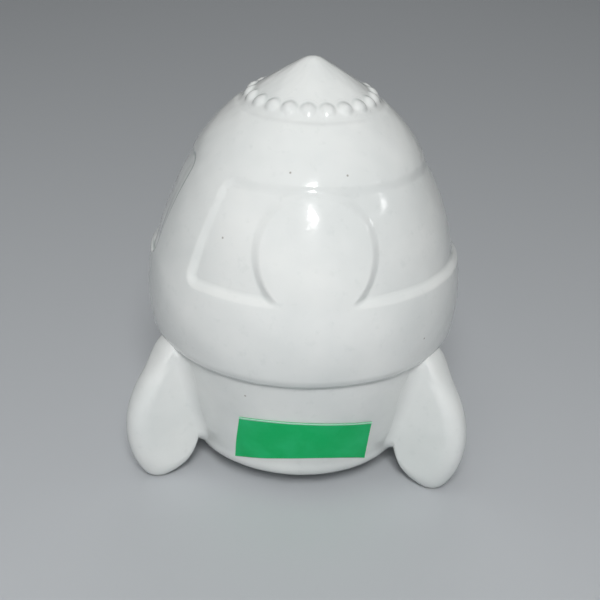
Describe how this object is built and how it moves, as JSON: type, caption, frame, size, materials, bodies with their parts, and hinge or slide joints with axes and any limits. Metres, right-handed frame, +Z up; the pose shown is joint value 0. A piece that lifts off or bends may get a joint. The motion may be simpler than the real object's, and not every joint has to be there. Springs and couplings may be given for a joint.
{
  "type": "ceramic rocket money bank",
  "caption": "Small glazed ceramic rocket-shaped coin bank standing on three leaf fins, with round porthole reliefs, a coin slot in its back and a rubber stopper in its base.",
  "frame": {"origin": "on the rocket's own axis, on the surface that its three fins stand on", "axes": "+Z up the rocket's axis to the nose tip, -Y to the front, midway between the two front fins, +X to the viewer's right; the third fin points along +Y"},
  "size_m": [0.0846, 0.0869, 0.1036],
  "materials": {
    "glazed_ceramic": "glossy white glaze",
    "stopper_rubber": "matt moulded rubber",
    "label_paper": "matt coloured paper"
  },
  "bodies": {
    "rocket": {"lower_hull": "glazed_ceramic", "belt": "glazed_ceramic", "window_bay": "glazed_ceramic", "strap_left": "glazed_ceramic", "strap_right": "glazed_ceramic", "porthole_front": "glazed_ceramic", "porthole_rear": "glazed_ceramic", "shoulder": "glazed_ceramic", "nose_cone": "glazed_ceramic", "rivet_ring": "glazed_ceramic", "fin_left": "glazed_ceramic", "fin_right": "glazed_ceramic", "fin_rear": "glazed_ceramic", "price_label": "label_paper"},
    "stopper": {"base_stopper": "stopper_rubber"}
  },
  "joints": [
    {"name": "stopper_pull", "type": "slide", "parent": "rocket", "child": "stopper", "axis": [0, 0, -1], "range_m": [0, 0.0045]}
  ]
}
